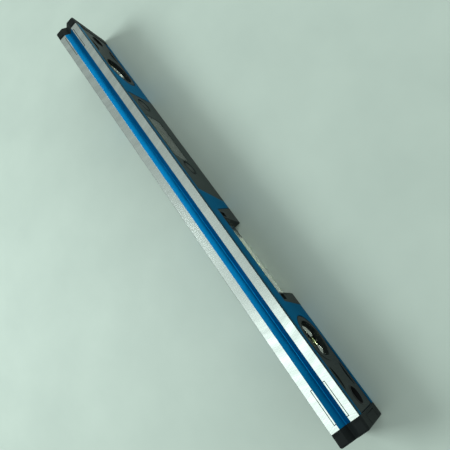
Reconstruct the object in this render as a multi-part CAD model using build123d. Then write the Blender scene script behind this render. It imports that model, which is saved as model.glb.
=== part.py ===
from build123d import *
import os

# A digital box-beam spirit level, 610 mm long, standing on its top edge so that
# the milled, magnetic V-groove face points upwards.
# X runs along the beam, Y across it, Z up. The origin is the middle of the
# footprint, so the lower edge lies on Z = 0 and the milled face on Z = HEIGHT.

# ---- driving dimensions, mm ----
LENGTH = 610.0
WIDTH = 33.0
HEIGHT = 69.0
CORNER_R = 2.5
MILLED_OFF = 0.8
CAP_LENGTH = 14.0
JOINT_GAP = 0.2

SIDE_WALL = 2.6
FACE_WALL = 3.0
EDGE_WALL = 2.6
GROOVE_HALF = 6.35
GROOVE_FLAT = 0.3
GROOVE_DEPTH = 5.2

WINDOW_X = 212.0
HANG_X = 276.5
FEATURE_Z = 34.5
WINDOW_R = 20.5
RING_R = 26.0
PLATE_R = 26.8
LIP = 2.0
POCKET_DEPTH = 1.6
EDGE_BREAK = 0.3
MOULDED_R = 0.7
PLATE_RECESS = 0.6
BOSS_BACK_Y = 12.3
WINDOW_RECESS = 5.5
SLEEVE_R = 10.3
HANG_R = 9.0

MODULE_TOP_Z = 60.5
CUT_TOP_Z = 46.5
MODULE_CORNERS = ((-165.0, 0.0), (-155.0, MODULE_TOP_Z), (13.0, MODULE_TOP_Z), (19.0, 0.0))
CUT_CORNERS = ((28.0, 0.0), (40.0, CUT_TOP_Z), (167.0, CUT_TOP_Z), (172.0, 0.0))
KEEPER_X0, KEEPER_X1 = LENGTH / 2 - 53.6, LENGTH / 2 - 19.4
KEEPER_HALF = 7.85
KEEPER_GAP = 0.7
SLOT_FLOOR_Z = 60.0
CAVITY_SHOULDER = 9.6
CAVITY_DIP_HALF = 2.0
HOLDER_LEFT_X = 52.0
HOLDER_RIGHT_X = 155.5

BUTTON_XS = {"power_button": -141.0, "hold_button": -28.5}
BUTTON_Z = 36.0
BUTTON_R = 8.0
BUTTON_GAP = 0.35
DISH_R = 11.0

BEAM_END = LENGTH / 2 - CAP_LENGTH
FACE_Y = WIDTH / 2
COVER_Y = FACE_Y - JOINT_GAP
CAVITY_Y = FACE_Y - SIDE_WALL
ENDS = {"left": -1, "right": 1}
SIDES = {"front": 1, "rear": -1}


# ---- shared shapes ----
def block(x0, x1, y0, y1, z0, z1):
    """A block between two opposite corners."""
    middle = Pos((x0 + x1) / 2, (y0 + y1) / 2, (z0 + z1) / 2)
    return middle * Box(abs(x1 - x0), abs(y1 - y0), abs(z1 - z0))


def along(profile, x0, x1):
    """A profile drawn in Y and Z, run along the beam from x0 to x1."""
    return Pos(x0, 0, 0) * extrude(Plane.YZ * profile, amount=x1 - x0, dir=(1, 0, 0))


def across(shape, y0, y1):
    """An outline drawn in X and Z, run across the beam from y0 to y1."""
    return Pos(0, y1, 0) * extrude(Plane.XZ * shape, amount=y1 - y0, dir=(0, -1, 0))


def disc(x, z, radius, y0, y1):
    """A round bar across the beam."""
    return across(Pos(x, z) * Circle(radius), y0, y1)


def outline(points):
    """A straight-sided outline through points."""
    return Polygon(*points, align=None)


def capsule(radius, length):
    """A round-ended bar along Z, about its middle."""
    straight = length - 2 * radius
    bar = Cylinder(radius, straight)
    return bar + Pos(0, 0, straight / 2) * Sphere(radius) + Pos(0, 0, -straight / 2) * Sphere(radius)


def section_outline(top):
    """A round-cornered section of the beam's width, up to top, in Y and Z."""
    return Pos(0, top / 2) * RectangleRounded(WIDTH, top, CORNER_R)


def groove_outline(extra=0.0):
    """The V-groove in the milled face, in Y and Z."""
    half = GROOVE_HALF + extra
    floor = HEIGHT - GROOVE_DEPTH - extra
    top = HEIGHT + 1
    return outline(((-half, top), (-half, HEIGHT), (-GROOVE_FLAT, floor),
                    (GROOVE_FLAT, floor), (half, HEIGHT), (half, top)))


def module_outline(inset=0.0):
    """The slant-ended pocket that holds the display module, in X and Z."""
    (x0, z0), (x1, z1), (x2, _), (x3, _) = MODULE_CORNERS
    base = z0 + (inset if inset else -1)
    return outline(((x0 + inset, base), (x1 + inset, z1 - inset),
                    (x2 - inset, z1 - inset), (x3 - inset, base)))


def plate_outline(end, radius, reach):
    """A window plate: round about the window and straight out to the cap, in X and Z."""
    middle = (WINDOW_X + reach) / 2
    straight = Pos(end * middle, FEATURE_Z) * Rectangle(reach - WINDOW_X, 2 * radius)
    return straight + Pos(end * WINDOW_X, FEATURE_Z) * Circle(radius)


# ---- beam ----
def beam_cavity():
    """The hollow inside the beam, which dips below the groove."""
    face = HEIGHT - FACE_WALL
    dip = HEIGHT - GROOVE_DEPTH - EDGE_WALL
    shoulder, half = CAVITY_SHOULDER, CAVITY_DIP_HALF
    points = ((-CAVITY_Y, EDGE_WALL), (CAVITY_Y, EDGE_WALL), (CAVITY_Y, face), (shoulder, face),
              (half, dip), (-half, dip), (-shoulder, face), (-CAVITY_Y, face))
    return along(outline(points), -BEAM_END - 1, BEAM_END + 1)


def magnet_slot(end):
    """The slot in the milled face that a keeper block fills."""
    x0, x1 = KEEPER_X0 - KEEPER_GAP, KEEPER_X1 + KEEPER_GAP
    half = KEEPER_HALF + KEEPER_GAP
    return block(end * x0, end * x1, -half, half, SLOT_FLOOR_Z, HEIGHT + 1)


def make_beam():
    """The extrusion: its face is milled flat, which cuts off the top of its round corners."""
    raw = along(section_outline(HEIGHT + MILLED_OFF), -BEAM_END, BEAM_END)
    beam = raw - block(-LENGTH, LENGTH, -WIDTH, WIDTH, HEIGHT, HEIGHT + 5)
    beam -= beam_cavity()
    beam -= along(groove_outline(), -BEAM_END - 1, BEAM_END + 1)
    beam -= across(module_outline(), -WIDTH, WIDTH)
    cut = ((CUT_CORNERS[0][0], -1.0), *CUT_CORNERS, (CUT_CORNERS[3][0], -1.0))
    beam -= across(outline(cut), -WIDTH, WIDTH)
    for end in ENDS.values():
        beam -= across(plate_outline(end, PLATE_R - LIP, BEAM_END - LIP - 1), -WIDTH, WIDTH)
        for side in SIDES.values():
            pocket = plate_outline(end, PLATE_R + JOINT_GAP, BEAM_END + 1)
            near, far = sorted((side * (FACE_Y - POCKET_DEPTH), side * WIDTH))
            beam -= across(pocket, near, far)
        beam -= magnet_slot(end)
    return beam


# ---- end caps ----
CAP_EDGE_R = 2.0
TONGUE_LENGTH = 11.0
TONGUE_Y = 11.6
TONGUE_WALL = 2.0
TONGUE_ZS = ((4.5, 18.5), (50.0, 57.2))
PAD_Z0, PAD_Z1 = 17.5, 51.5
PAD_X0 = 3.0
PAD_LINE = 0.9
PAD_R = 2.5
PAD_DEPTH = 0.8
RIB_COUNT = 3
RIB_START = 0.9
RIB_PITCH = 0.8
RIB_Y0, RIB_Y1 = 8.2, 15.6
RIB_DEPTH = 0.4


def cap_pad_line(side):
    """The narrow channel that frames the grip pad on a cap's side."""
    x0 = BEAM_END + JOINT_GAP + PAD_X0
    x1 = LENGTH / 2 + 3
    middle = Pos((x0 + x1) / 2, (PAD_Z0 + PAD_Z1) / 2)
    width, height = x1 - x0, PAD_Z1 - PAD_Z0
    frame = middle * RectangleRounded(width, height, PAD_R)
    inner = middle * RectangleRounded(width - 2 * PAD_LINE, height - 2 * PAD_LINE, PAD_R - PAD_LINE)
    near, far = sorted((side * (FACE_Y - PAD_DEPTH), side * (FACE_Y + 1)))
    return across(frame - inner, near, far)


def make_cap():
    """A shock-absorbing end cap, as it sits on the right-hand end."""
    start = BEAM_END + JOINT_GAP
    cap = along(section_outline(HEIGHT), start, LENGTH / 2)
    outer_end = cap.faces().sort_by(Axis.X)[-1].edges()
    cap = fillet(outer_end, CAP_EDGE_R)
    cap -= along(groove_outline(), start - 1, LENGTH / 2 + 1)
    for side in SIDES.values():
        cap -= cap_pad_line(side)
        for rib in range(RIB_COUNT):
            x = start + RIB_START + rib * RIB_PITCH
            near, far = sorted((side * RIB_Y0, side * RIB_Y1))
            cap -= block(x, x + RIB_PITCH / 2, near, far, HEIGHT - RIB_DEPTH, HEIGHT + 1)
    for z0, z1 in TONGUE_ZS:
        tongue = block(start - TONGUE_LENGTH, start + 1, -TONGUE_Y, TONGUE_Y, z0, z1)
        wall = TONGUE_WALL
        hollow_y = TONGUE_Y - wall
        tongue -= block(start - TONGUE_LENGTH - 1, start - 1, -hollow_y, hollow_y, z0 + wall, z1 - wall)
        cap += tongue
    return cap


# ---- magnets and their keeper blocks ----
KEEPER_FOOT_Z = 57.7
FLANGE_TOP_Z = 61.0
MAGNET_Y0, MAGNET_Y1 = 3.0, 6.8
MAGNET_TOP_Z = 63.5
MAGNET_INSET = 1.6
MAGNET_PLAY = 0.05
FLANGE_HALF = 10.8
FLANGE_BEFORE, FLANGE_AFTER = 3.0, 2.0


def magnet_bar(side, clearance=0.0):
    x0, x1 = KEEPER_X0 + MAGNET_INSET - clearance, KEEPER_X1 - MAGNET_INSET + clearance
    y0, y1 = side * (MAGNET_Y0 - clearance), side * (MAGNET_Y1 + clearance)
    return block(x0, x1, y0, y1, KEEPER_FOOT_Z, MAGNET_TOP_Z + clearance)


def make_keeper():
    """The keeper block: it carries the groove across the slot and holds two magnets."""
    keeper = block(KEEPER_X0, KEEPER_X1, -KEEPER_HALF, KEEPER_HALF, KEEPER_FOOT_Z, HEIGHT)
    x0, x1 = KEEPER_X0 - FLANGE_BEFORE, KEEPER_X1 + FLANGE_AFTER
    keeper += block(x0, x1, -FLANGE_HALF, FLANGE_HALF, KEEPER_FOOT_Z, FLANGE_TOP_Z)
    keeper -= along(groove_outline(), KEEPER_X0 - 1, KEEPER_X1 + 1)
    for side in SIDES.values():
        keeper -= magnet_bar(side, MAGNET_PLAY)
    return keeper


def make_magnets():
    return Compound(children=[magnet_bar(side) for side in SIDES.values()])


# ---- window plates, hang-hole sleeves and plumb vials ----
WAIST_X = 255.5
WAIST_HALF = 13.5
WAIST_DIP = 6.5
WAIST_EDGE = 20.5
WAIST_RECESS = 2.4
TUBE_WALL = 2.0
BLOCK_R = 24.0
VIAL_R = 5.5
VIAL_HALF = 18.0
BUBBLE_GAP = 0.6
PLUMB_BUBBLE = 12.0
PLUMB_BORE_FOOT = 5.0
BLOCK_EDGE = 0.6
RING_EDGE_R = 0.5
SLEEVE_EDGE_R = 0.4
BOSS_GAP = 0.15
FIT_GAP = 0.05
PLUG_GAP = 0.02


def waist_crescent(up):
    """A crescent that narrows the plate between window and hang hole, in X and Z."""
    radius = (WAIST_HALF ** 2 + WAIST_DIP ** 2) / (2 * WAIST_DIP)
    edge = FEATURE_Z + up * WAIST_EDGE
    arc = Pos(WAIST_X, edge + up * (radius - WAIST_DIP)) * Circle(radius)
    kept = Pos(WAIST_X, edge - up * WAIST_DIP) * Rectangle(4 * WAIST_HALF, 2 * WAIST_DIP)
    return arc & kept


def make_window_plate():
    """The front plate of the right-hand end; the other three are turned copies."""
    front = FACE_Y - PLATE_RECESS
    floor = FACE_Y - POCKET_DEPTH
    plate = across(plate_outline(1, PLATE_R, BEAM_END - JOINT_GAP), floor, front)
    plate = chamfer(plate.faces().sort_by(Axis.Y)[-1].edges(), EDGE_BREAK)
    inset = LIP + BOSS_GAP
    plate += across(plate_outline(1, PLATE_R - inset, BEAM_END - 1 - inset), BOSS_BACK_Y, floor)
    ring = disc(WINDOW_X, FEATURE_Z, RING_R, floor, FACE_Y)
    ring = fillet(ring.faces().sort_by(Axis.Y)[-1].edges(), RING_EDGE_R)
    plate += ring
    plate += disc(WINDOW_X, FEATURE_Z, WINDOW_R + TUBE_WALL, FACE_Y - WINDOW_RECESS, floor)
    plate -= disc(WINDOW_X, FEATURE_Z, WINDOW_R, 0, WIDTH)
    mouth = plate.edges().filter_by(GeomType.CIRCLE).group_by(Axis.Y)[-1].sort_by(SortBy.RADIUS)[0]
    plate = fillet(mouth, RING_EDGE_R)
    plate -= disc(HANG_X, FEATURE_Z, SLEEVE_R + FIT_GAP, 0, WIDTH)
    for up in (1, -1):
        plate -= across(waist_crescent(up), front - WAIST_RECESS, WIDTH)
    return plate


def make_sleeve():
    """The tube that lines a hang hole from side to side."""
    tube = disc(HANG_X, FEATURE_Z, SLEEVE_R, -COVER_Y, COVER_Y)
    tube = fillet(tube.edges(), SLEEVE_EDGE_R)
    return tube - disc(HANG_X, FEATURE_Z, HANG_R, -WIDTH, WIDTH)


def make_plumb_block():
    """The clear disc of a plumb vial, bored upwards and closed by a plug."""
    half = FACE_Y - WINDOW_RECESS - FIT_GAP
    body = disc(WINDOW_X, FEATURE_Z, BLOCK_R, -half, half)
    body = chamfer(body.edges(), BLOCK_EDGE)
    bore_top = FEATURE_Z + VIAL_HALF
    bore_middle = (bore_top + PLUMB_BORE_FOOT) / 2
    bore = Pos(WINDOW_X, 0, bore_middle) * Cylinder(VIAL_R, bore_top - PLUMB_BORE_FOOT)
    return body - bore


def make_plumb_plug():
    low = FEATURE_Z - BLOCK_R + 0.8
    high = FEATURE_Z - VIAL_HALF
    return Pos(WINDOW_X, 0, (low + high) / 2) * Cylinder(VIAL_R - PLUG_GAP, high - low)


def make_plumb_bubble():
    """The bubble, which floats at the upper end of its bore."""
    top = FEATURE_Z + VIAL_HALF - 0.4
    return Pos(WINDOW_X, 0, top - PLUMB_BUBBLE / 2) * capsule(VIAL_R - BUBBLE_GAP, PLUMB_BUBBLE)


# ---- level vial and its holders ----
LEVEL_HALF_Y = 8.2
LEVEL_Z0, LEVEL_Z1 = 0.6, 27.0
LEVEL_AXIS_Z = 16.0
LEVEL_BORE_R = 6.5
LEVEL_BORE_X0, LEVEL_BORE_X1 = 62.0, 145.5
LEVEL_BUBBLE = 18.0
SOCKET = 3.0
SOCKET_GAP = 0.15
LEVEL_BLOCK_EDGE = 0.8
RECESS_X0, RECESS_X1 = 2.0, 8.8
RECESS_Z, RECESS_HEIGHT = 38.5, 11.0
RECESS_DEPTH, RECESS_R = 2.5, 1.5
HOLDER_FOOT_Z = 0.1


def level_block_box(extra=0.0):
    x0, x1 = HOLDER_LEFT_X - SOCKET, HOLDER_RIGHT_X + SOCKET
    y = LEVEL_HALF_Y + extra
    return block(x0 - extra, x1 + extra, -y, y, LEVEL_Z0 - (1 if extra else 0), LEVEL_Z1 + extra)


def level_bar(radius, x0, x1):
    """A round bar along the level vial's axis."""
    return Pos((x0 + x1) / 2, 0, LEVEL_AXIS_Z) * Rot(0, 90, 0) * Cylinder(radius, x1 - x0)


def make_level_block():
    body = level_block_box()
    body = chamfer(body.edges().filter_by(Axis.X), LEVEL_BLOCK_EDGE)
    return body - level_bar(LEVEL_BORE_R, LEVEL_BORE_X0, HOLDER_RIGHT_X + SOCKET + 1)


def make_level_plug():
    return level_bar(LEVEL_BORE_R - PLUG_GAP, LEVEL_BORE_X1, HOLDER_RIGHT_X + SOCKET - 0.2)


def make_level_bubble():
    middle = (LEVEL_BORE_X0 + LEVEL_BORE_X1) / 2
    return Pos(middle, 0, LEVEL_AXIS_Z) * Rot(0, 90, 0) * capsule(LEVEL_BORE_R - BUBBLE_GAP, LEVEL_BUBBLE)


def make_holder(points, inner_x, outward):
    """A holder that closes one end of the cut-out and grips the level vial."""
    holder = across(outline(points), -COVER_Y, COVER_Y)
    for face in (holder.faces().sort_by(Axis.Y)[0], holder.faces().sort_by(Axis.Y)[-1]):
        holder = fillet(face.edges(), MOULDED_R)
    holder -= level_block_box(SOCKET_GAP)
    for side in SIDES.values():
        near, far = sorted((side * (COVER_Y - RECESS_DEPTH), side * WIDTH))
        x0, x1 = sorted((inner_x + outward * RECESS_X0, inner_x + outward * RECESS_X1))
        recess = RectangleRounded(x1 - x0, RECESS_HEIGHT, RECESS_R)
        holder -= across(Pos((x0 + x1) / 2, RECESS_Z) * recess, near, far)
    return holder


def make_left_holder():
    low, top = CUT_CORNERS[0], CUT_CORNERS[1]
    gap = JOINT_GAP
    points = ((low[0] + gap, HOLDER_FOOT_Z), (top[0] + gap, CUT_TOP_Z - gap),
              (HOLDER_LEFT_X, CUT_TOP_Z - gap), (HOLDER_LEFT_X, HOLDER_FOOT_Z))
    return make_holder(points, HOLDER_LEFT_X, -1)


def make_right_holder():
    top, low = CUT_CORNERS[2], CUT_CORNERS[3]
    gap = JOINT_GAP
    points = ((HOLDER_RIGHT_X, HOLDER_FOOT_Z), (HOLDER_RIGHT_X, CUT_TOP_Z - gap),
              (top[0] - gap, CUT_TOP_Z - gap), (low[0] - gap, HOLDER_FOOT_Z))
    return make_holder(points, HOLDER_RIGHT_X, 1)


# ---- display module ----
SHELL = 2.2
REAR_SHELL = 3.4
LENS_X0, LENS_X1 = -115.0, -45.5
LENS_Z0, LENS_Z1 = 24.0, 55.0
LENS_BULGE = 4.3
LENS_THICK = 1.2
DISPLAY_X0, DISPLAY_X1 = -116.0, -44.5
DISPLAY_Z0, DISPLAY_Z1 = 22.0, 57.0
DISPLAY_Y0, DISPLAY_Y1 = 12.1, 14.0
GUIDE_Y0, GUIDE_Y1 = 9.4, 12.0
GUIDE_LEG = 3.0
BOARD_X0, BOARD_X1 = -146.0, 1.0
BOARD_Z0, BOARD_Z1 = 6.5, 56.0
BOARD_Y0, BOARD_Y1 = 2.0, 3.6
SCREW_SPOTS = ((-155.0, 10.0), (-150.3, 52.0), (8.0, 10.0), (6.0, 52.0))
SCREW_R = 1.25
SWITCH_HALF, SWITCH_CASE, SWITCH_STEM_R = 3.0, 3.2, 1.7
SWITCH_TOP_Y = 7.3
SENSOR_X0, SENSOR_X1 = -16.0, -2.0
SENSOR_Z0, SENSOR_Z1 = 14.0, 26.0
SENSOR_TALL, SENSOR_R = 6.0, 1.5
BUZZER_X, BUZZER_Z = -8.0, 46.0
BUZZER_R, BUZZER_TALL, BUZZER_HOLE_R = 6.0, 5.0, 1.0
CHIPS = ((-95.0, 14.0, 10.0, 1.4), (-70.0, 14.0, 6.0, 1.2),
         (-55.0, 13.0, 5.0, 1.2), (-108.0, 13.0, 4.0, 2.4))
CELL_R = 5.25
CELL_LENGTH = 44.5
CELL_SHIFT = 1.4
CELL_EDGE_R = 0.5
NUB_R, NUB_LENGTH = 1.9, 1.2
CONTACT_THICK = 0.4
CONTACT_HALF_Y, CONTACT_HALF_Z = 4.0, 4.5
SPRING_R, SPRING_WIRE_R, SPRING_TURNS = 2.6, 0.3, 3
CELL_Y = -8.4
CELL_ZS = (24.5, 37.5)
BAY_X0, BAY_X1 = -130.0, -80.0
BAY_Z0, BAY_Z1 = 18.2, 43.8
BAY_WALL = 1.2
BAY_FLOOR_Y = -2.8
DOOR_X0, DOOR_X1 = -132.6, -77.4
DOOR_Z0 = 13.4
HINGE_Y, HINGE_Z = -15.2, 47.5
DOOR_HALF_THICK = 1.0
HINGE_PIN_R = 0.75
HINGE_HOLE_R = 0.80
HINGE_PIN_OUT, HINGE_HOLE_OUT = 1.2, 1.7
JOIN_Y = 0.05
BUTTON_SINK = 0.1
BUTTON_EDGE_R = 1.0
BUTTON_FLANGE_R = BUTTON_R + 1.6
BUTTON_FLANGE_Y0, BUTTON_FLANGE_Y1 = 10.8, 12.1
BUTTON_STEM_R = 2.5
BUTTON_REST = 1.3
DISH_DEPTH = 1.4
DISH_EDGE_R = 0.9
DISH_BACK_Y = 12.6
LENS_SINK = 0.3
LENS_LEDGE = 2.0
LENS_GAP = 0.1
SCREW_BOSS_R = 3.0
SCREW_TIP_Y = 11.0
SCREW_HEAD_R, SCREW_HEAD_TOP, SCREW_SEAT = 2.35, 0.5, 2.0
SCREW_RECESS_R = 2.6
CROSS_HALF, CROSS_SLOT_HALF, CROSS_DEPTH = 1.6, 0.25, 1.2
DOOR_GAP = 0.4
DOOR_SEAT_Y = 13.8
NAIL_X0, NAIL_X1 = -112.0, -98.0
NAIL_DROP, NAIL_Y = 3.0, 14.6
GRIP_X0, GRIP_X1 = -113.0, -97.0
GRIP_COUNT, GRIP_START, GRIP_PITCH, GRIP_SLOT, GRIP_DEPTH = 5, 3.0, 1.8, 0.9, 0.4


def lens_outline(inset=0.0):
    """The display window: square at one end and bowed at the other, in X and Z."""
    x0, x1 = LENS_X0 + inset, LENS_X1 - inset
    z0, z1 = LENS_Z0 + inset, LENS_Z1 - inset
    middle = (z0 + z1) / 2
    bow = ThreePointArc((x1, z0), (x1 + LENS_BULGE, middle), (x1, z1))
    rest = Polyline((x1, z1), (x0, z1), (x0, z0), (x1, z0))
    return make_face([bow, *rest.edges()])


def module_cavity(y0, y1):
    return across(module_outline(JOINT_GAP + SHELL), y0, y1)


def make_front_housing():
    """The shell that carries the display window and the two buttons."""
    shell = across(module_outline(JOINT_GAP), JOIN_Y, COVER_Y)
    shell = fillet(shell.faces().sort_by(Axis.Y)[-1].edges(), MOULDED_R)
    shell -= module_cavity(0, COVER_Y - SHELL)
    for x in BUTTON_XS.values():
        shell += disc(x, BUTTON_Z, DISH_R + 1, DISH_BACK_Y, COVER_Y - SHELL)
        dish = disc(x, BUTTON_Z, DISH_R, COVER_Y - DISH_DEPTH, WIDTH)
        shell -= fillet(dish.faces().sort_by(Axis.Y)[0].edges(), DISH_EDGE_R)
        shell -= disc(x, BUTTON_Z, BUTTON_R + BUTTON_GAP, 10, WIDTH)
    shell -= across(lens_outline(-LENS_GAP), COVER_Y - LENS_THICK - LENS_SINK, WIDTH)
    shell -= across(lens_outline(LENS_LEDGE), 10, WIDTH)
    for x, z in SCREW_SPOTS:
        shell += disc(x, z, SCREW_BOSS_R, JOIN_Y, COVER_Y - SHELL)
        shell -= disc(x, z, SCREW_R + FIT_GAP, 0, SCREW_TIP_Y + 0.5)
    return shell


def make_rear_housing():
    """The shell with the battery bay and the seat of its hinged door."""
    shell = across(module_outline(JOINT_GAP), -COVER_Y, -JOIN_Y)
    shell = fillet(shell.faces().sort_by(Axis.Y)[0].edges(), MOULDED_R)
    shell -= module_cavity(-COVER_Y + REAR_SHELL, 0)
    shell += block(BAY_X0 - BAY_WALL, BAY_X1 + BAY_WALL, -COVER_Y + REAR_SHELL, BAY_FLOOR_Y + BAY_WALL,
                   BAY_Z0 - BAY_WALL, BAY_Z1 + BAY_WALL)
    shell -= block(BAY_X0, BAY_X1, -WIDTH, BAY_FLOOR_Y, BAY_Z0, BAY_Z1)
    gap = DOOR_GAP
    shell -= block(DOOR_X0 - gap, DOOR_X1 + gap, -WIDTH, -DOOR_SEAT_Y, DOOR_Z0 - gap, HINGE_Z + 1.7)
    shell -= block(NAIL_X0, NAIL_X1, -WIDTH, -NAIL_Y, DOOR_Z0 - NAIL_DROP, DOOR_Z0)
    shell -= door_bar(HINGE_HOLE_R, HINGE_HOLE_OUT)
    for x, z in SCREW_SPOTS:
        shell += disc(x, z, SCREW_BOSS_R, -COVER_Y + 1, -JOIN_Y)
        shell -= disc(x, z, SCREW_R + 0.15, -WIDTH, 1)
        shell -= disc(x, z, SCREW_RECESS_R, -WIDTH, -COVER_Y + SCREW_SEAT)
    return shell


def make_screws():
    """Four pan-head screws that join the two shells from behind."""
    screws = []
    for x, z in SCREW_SPOTS:
        head = disc(x, z, SCREW_HEAD_R, -COVER_Y + SCREW_HEAD_TOP, -COVER_Y + SCREW_SEAT)
        head = fillet(head.faces().sort_by(Axis.Y)[0].edges(), 0.6)
        head += disc(x, z, SCREW_R, -COVER_Y + SCREW_SEAT, SCREW_TIP_Y)
        for dx, dz in ((CROSS_HALF, CROSS_SLOT_HALF), (CROSS_SLOT_HALF, CROSS_HALF)):
            head -= block(x - dx, x + dx, -WIDTH, -COVER_Y + CROSS_DEPTH, z - dz, z + dz)
        screws.append(head)
    return Compound(children=screws)


def door_bar(radius, overhang):
    """A round bar on the door's hinge axis, past each end of the door by overhang."""
    x0, x1 = DOOR_X0 - overhang, DOOR_X1 + overhang
    return Pos((x0 + x1) / 2, HINGE_Y, HINGE_Z) * Rot(0, 90, 0) * Cylinder(radius, x1 - x0)


def make_door():
    """The battery door: a plate with a round hinge edge and two moulded pins."""
    y0, y1 = HINGE_Y - DOOR_HALF_THICK, HINGE_Y + DOOR_HALF_THICK
    door = block(DOOR_X0, DOOR_X1, y0, y1, DOOR_Z0, HINGE_Z)
    door += door_bar(DOOR_HALF_THICK, 0)
    door += door_bar(HINGE_PIN_R, HINGE_PIN_OUT)
    for rib in range(GRIP_COUNT):
        z = DOOR_Z0 + GRIP_START + GRIP_PITCH * rib
        door -= block(GRIP_X0, GRIP_X1, y0 - 1, y0 + GRIP_DEPTH, z, z + GRIP_SLOT)
    return door


def make_lens():
    return across(lens_outline(), COVER_Y - LENS_THICK - LENS_SINK, COVER_Y - LENS_SINK)


def make_display():
    return block(DISPLAY_X0, DISPLAY_X1, DISPLAY_Y0, DISPLAY_Y1, DISPLAY_Z0, DISPLAY_Z1)


def make_light_guide():
    guide = block(DISPLAY_X0, DISPLAY_X1, GUIDE_Y0, GUIDE_Y1, DISPLAY_Z0, DISPLAY_Z1)
    leg = GUIDE_LEG
    legs = [block(x, x + leg, BOARD_Y1, GUIDE_Y0, z, z + leg)
            for x in (DISPLAY_X0, DISPLAY_X1 - leg) for z in (DISPLAY_Z0, DISPLAY_Z1 - leg - 1)]
    return guide + legs


def make_board():
    return block(BOARD_X0, BOARD_X1, BOARD_Y0, BOARD_Y1, BOARD_Z0, BOARD_Z1)


def make_chips():
    """The processor, two smaller chips and a crystal, on the board's front."""
    chips = []
    for x, z, size, thick in CHIPS:
        half = size / 2
        chips.append(block(x - half, x + half, BOARD_Y1, BOARD_Y1 + thick, z - half, z + half))
    return Compound(children=chips)


def make_tilt_sensor():
    """The inclination sensor: a sealed can on the board, towards the beam's middle."""
    can = block(SENSOR_X0, SENSOR_X1, BOARD_Y1, BOARD_Y1 + SENSOR_TALL, SENSOR_Z0, SENSOR_Z1)
    return fillet(can.edges().filter_by(Axis.Y), SENSOR_R)


def make_buzzer():
    top = BOARD_Y1 + BUZZER_TALL
    case = disc(BUZZER_X, BUZZER_Z, BUZZER_R, BOARD_Y1, top)
    return case - disc(BUZZER_X, BUZZER_Z, BUZZER_HOLE_R, top - 1.5, top + 1)


def make_switch(x):
    """A tactile switch on the board, behind a button."""
    half, top = SWITCH_HALF, BOARD_Y1 + SWITCH_CASE
    body = block(x - half, x + half, BOARD_Y1, top, BUTTON_Z - half, BUTTON_Z + half)
    return body + disc(x, BUTTON_Z, SWITCH_STEM_R, top, SWITCH_TOP_Y)


def make_button(x):
    """A round button: cap, retaining flange and a stem over its switch."""
    cap = disc(x, BUTTON_Z, BUTTON_R, BUTTON_FLANGE_Y1 - 0.1, COVER_Y - BUTTON_SINK)
    cap = fillet(cap.faces().sort_by(Axis.Y)[-1].edges(), BUTTON_EDGE_R)
    flange = disc(x, BUTTON_Z, BUTTON_FLANGE_R, BUTTON_FLANGE_Y0, BUTTON_FLANGE_Y1)
    stem = disc(x, BUTTON_Z, BUTTON_STEM_R, SWITCH_TOP_Y + BUTTON_REST, BUTTON_FLANGE_Y0)
    return cap + flange + stem


def cell(z, nub_end):
    """One AAA cell along X; nub_end is +1 when its nub points towards +X."""
    middle = (BAY_X0 + BAY_X1) / 2 + nub_end * CELL_SHIFT
    body = Pos(middle - nub_end * 0.5, CELL_Y, z) * Rot(0, 90, 0) * Cylinder(CELL_R, CELL_LENGTH - 1)
    body = fillet(body.edges(), CELL_EDGE_R)
    nub_middle = middle + nub_end * (CELL_LENGTH - NUB_LENGTH) / 2
    return body + Pos(nub_middle, CELL_Y, z) * Rot(0, 90, 0) * Cylinder(NUB_R, NUB_LENGTH)


def make_contacts():
    """Spring-steel plates at both ends of the battery bay."""
    plates = []
    dy, dz = CONTACT_HALF_Y, CONTACT_HALF_Z
    for x0 in (BAY_X0 + FIT_GAP, BAY_X1 - FIT_GAP - CONTACT_THICK):
        for z in CELL_ZS:
            plates.append(block(x0, x0 + CONTACT_THICK, CELL_Y - dy, CELL_Y + dy, z - dz, z + dz))
    return Compound(children=plates)


def make_springs():
    """The coil behind each cell's flat end."""
    springs = []
    for z, nub_end in zip(CELL_ZS, (1, -1)):
        flat_x = (BAY_X0 + BAY_X1) / 2 + nub_end * (CELL_SHIFT - CELL_LENGTH / 2)
        plate = FIT_GAP + CONTACT_THICK
        plate_x = BAY_X0 + plate if nub_end > 0 else BAY_X1 - plate
        ends_gap = SPRING_WIRE_R + 0.1
        height = abs(flat_x - plate_x) - 2 * ends_gap
        path = Helix(pitch=height / SPRING_TURNS, height=height, radius=SPRING_R)
        coil = sweep(Plane(path @ 0, z_dir=path % 0) * Circle(SPRING_WIRE_R), path=path, is_frenet=True)
        springs.append(Pos(min(flat_x, plate_x) + ends_gap, CELL_Y, z) * Rot(0, 90, 0) * coil)
    return Compound(children=springs)


# ---- every node ----
def placed(shape, end, side=1):
    """A right-hand, front-side shape carried to another end or side of the beam."""
    if end < 0:
        shape = mirror(shape, Plane.YZ)
    if side < 0:
        shape = mirror(shape, Plane.XZ)
    return shape


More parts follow.
